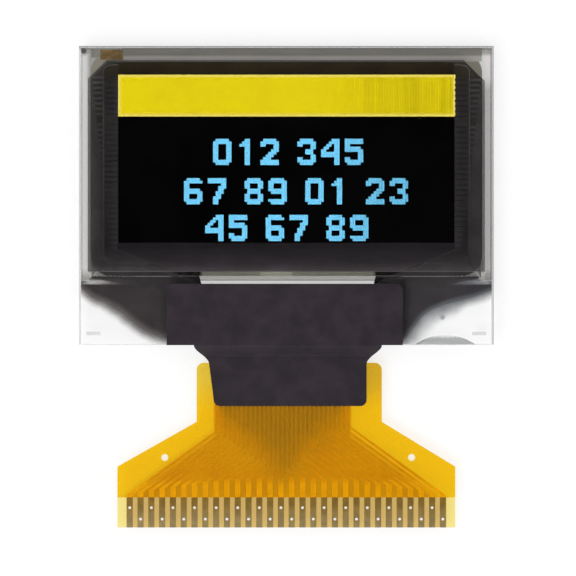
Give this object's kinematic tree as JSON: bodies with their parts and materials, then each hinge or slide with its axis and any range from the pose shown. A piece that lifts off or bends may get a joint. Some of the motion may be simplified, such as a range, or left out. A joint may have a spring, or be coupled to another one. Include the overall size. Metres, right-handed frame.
{
  "type": "small oled display panel",
  "caption": "Flat glass display panel with a two-colour screen, a dark shield tape and an amber flex tail that ends in a row of solder pads.",
  "frame": {"origin": "centre of the cap glass's back face, on which the panel lies or is stuck down", "axes": "+Z out of the screen, +Y up the screen away from the flex tail, +X to the screen's right"},
  "size_m": [0.0266, 0.0312, 0.0014],
  "materials": {
    "front_glass": "polished clear glass",
    "cap_glass": "clear glass with an etched, frosted recess",
    "polarizer_film": "smooth dark film",
    "seal_resin": "pale cured resin",
    "drying_sheet": "matt white sheet",
    "clear_electrode": "clear conductive layer",
    "insulator": "black insulating layer",
    "yellow_light": "lit yellow layer",
    "blue_layer": "black when unlit",
    "row_metal": "bright evaporated metal",
    "separator_resist": "dark resist",
    "lead_metal": "dark sputtered metal seen through glass",
    "bus_metal": "grey sputtered metal",
    "pad_metal": "brown tarnished metal",
    "chip_silicon": "ground silicon",
    "bond_film": "cured conductive film",
    "dark_resin": "dark light-tight resin",
    "amber_film": "amber polyimide",
    "copper": "etched copper",
    "pad_gold": "thin gold, dull",
    "amber_cover": "amber cover film",
    "dark_tape": "matt dark tape"
  },
  "bodies": {
    "root": {"substrate_glass": "front_glass", "polarizer": "polarizer_film", "cap_glass": "cap_glass", "seal_frame": "seal_resin", "desiccant_sheet": "drying_sheet", "column_electrodes": "clear_electrode", "insulator_frame": "insulator", "yellow_emitter": "yellow_light", "blue_emitter": "blue_layer", "cathode_rows": "row_metal", "cathode_separators": "separator_resist", "left_row_leads": "lead_metal", "right_row_leads": "lead_metal", "test_bus": "bus_metal", "test_pad": "pad_metal", "alignment_marks": "bus_metal", "input_leads": "lead_metal", "driver_chip": "chip_silicon", "chip_bond_film": "bond_film", "flex_bond_film": "bond_film", "ledge_resin": "dark_resin", "flex_base_film": "amber_film", "flex_traces": "copper", "pad_plating": "pad_gold", "flex_coverlay": "amber_cover", "light_shield_tape": "dark_tape"}
  },
  "joints": []
}
